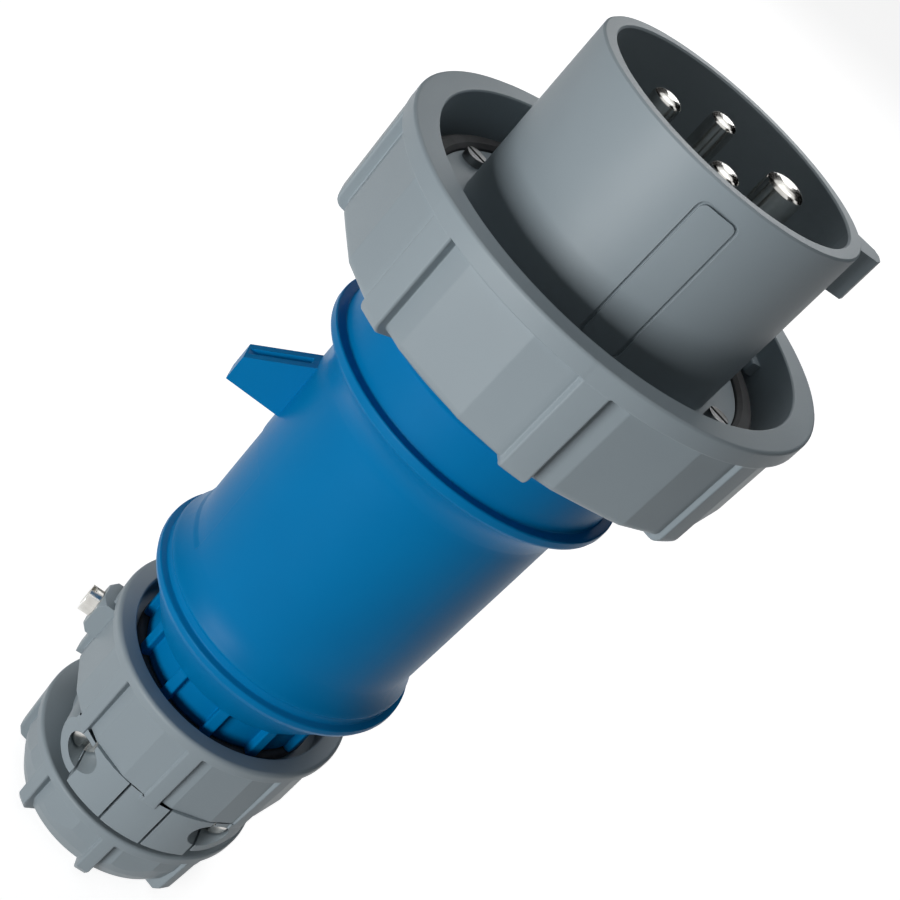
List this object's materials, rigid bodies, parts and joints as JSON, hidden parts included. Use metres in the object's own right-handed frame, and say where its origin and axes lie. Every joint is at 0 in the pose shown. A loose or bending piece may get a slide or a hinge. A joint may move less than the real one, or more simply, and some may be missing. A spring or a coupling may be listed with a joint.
{
  "type": "industrial pin and sleeve plug",
  "caption": "Cable-mounted industrial pin and sleeve plug: keyed shroud with round contact pins, bayonet lock ring, tapered housing, clamping gland and rear nut.",
  "frame": {"origin": "centre of the rear nut's end face, on the plug's axis", "axes": "+Z along the axis from the cable end to the pins, +X towards the key on the shroud and the earth pin"},
  "size_m": [0.0794, 0.0794, 0.178],
  "materials": {
    "grey_plastic": "fine matte moulding texture",
    "blue_plastic": "satin moulding",
    "nickel": "nickel plated, lightly brushed",
    "zinc": "zinc plated",
    "black_rubber": "matte"
  },
  "bodies": {
    "plug_body": {"pin_carrier": "grey_plastic", "earth_pin": "nickel", "line_pin_1": "nickel", "line_pin_2": "nickel", "line_pin_3": "nickel", "terminal_screws": "zinc", "carrier_screws": "nickel", "face_seal": "black_rubber", "housing": "blue_plastic", "housing_seal": "black_rubber", "neck_seal": "black_rubber", "gland_body": "grey_plastic", "lock_block": "grey_plastic", "lock_screw": "nickel", "cable_seal": "black_rubber"},
    "ring": {"lock_ring": "grey_plastic"},
    "near_clamp": {"near_jaw": "grey_plastic", "clamp_screws": "nickel"},
    "far_clamp": {"far_jaw": "grey_plastic", "clamp_nuts": "zinc"},
    "slip": {"slip_ring": "grey_plastic"},
    "nut": {"rear_nut": "grey_plastic"}
  },
  "joints": [
    {"name": "ring_turn", "type": "hinge", "parent": "plug_body", "child": "ring", "pos_m": [0, 0, 0.135], "axis": [0, 0, 1], "range_deg": [0, 45]},
    {"name": "near_jaw_slide", "type": "slide", "parent": "plug_body", "child": "near_clamp", "axis": [0, 1, 0], "range_m": [0, 0.002]},
    {"name": "far_jaw_slide", "type": "slide", "parent": "plug_body", "child": "far_clamp", "axis": [0, -1, 0], "range_m": [0, 0.002]},
    {"name": "slip_slide", "type": "slide", "parent": "plug_body", "child": "slip", "axis": [0, 0, 1], "range_m": [-0.006, 0]},
    {"name": "nut_turn", "type": "hinge", "parent": "slip", "child": "nut", "pos_m": [0, 0, 0.002], "axis": [0, 0, 1], "range_deg": [-1080, 0]}
  ],
  "couplings": [
    {"joint": "far_jaw_slide", "follows": "near_jaw_slide", "ratio": 1},
    {"joint": "slip_slide", "follows": "nut_turn", "m_per_rad": 0.00031831}
  ]
}
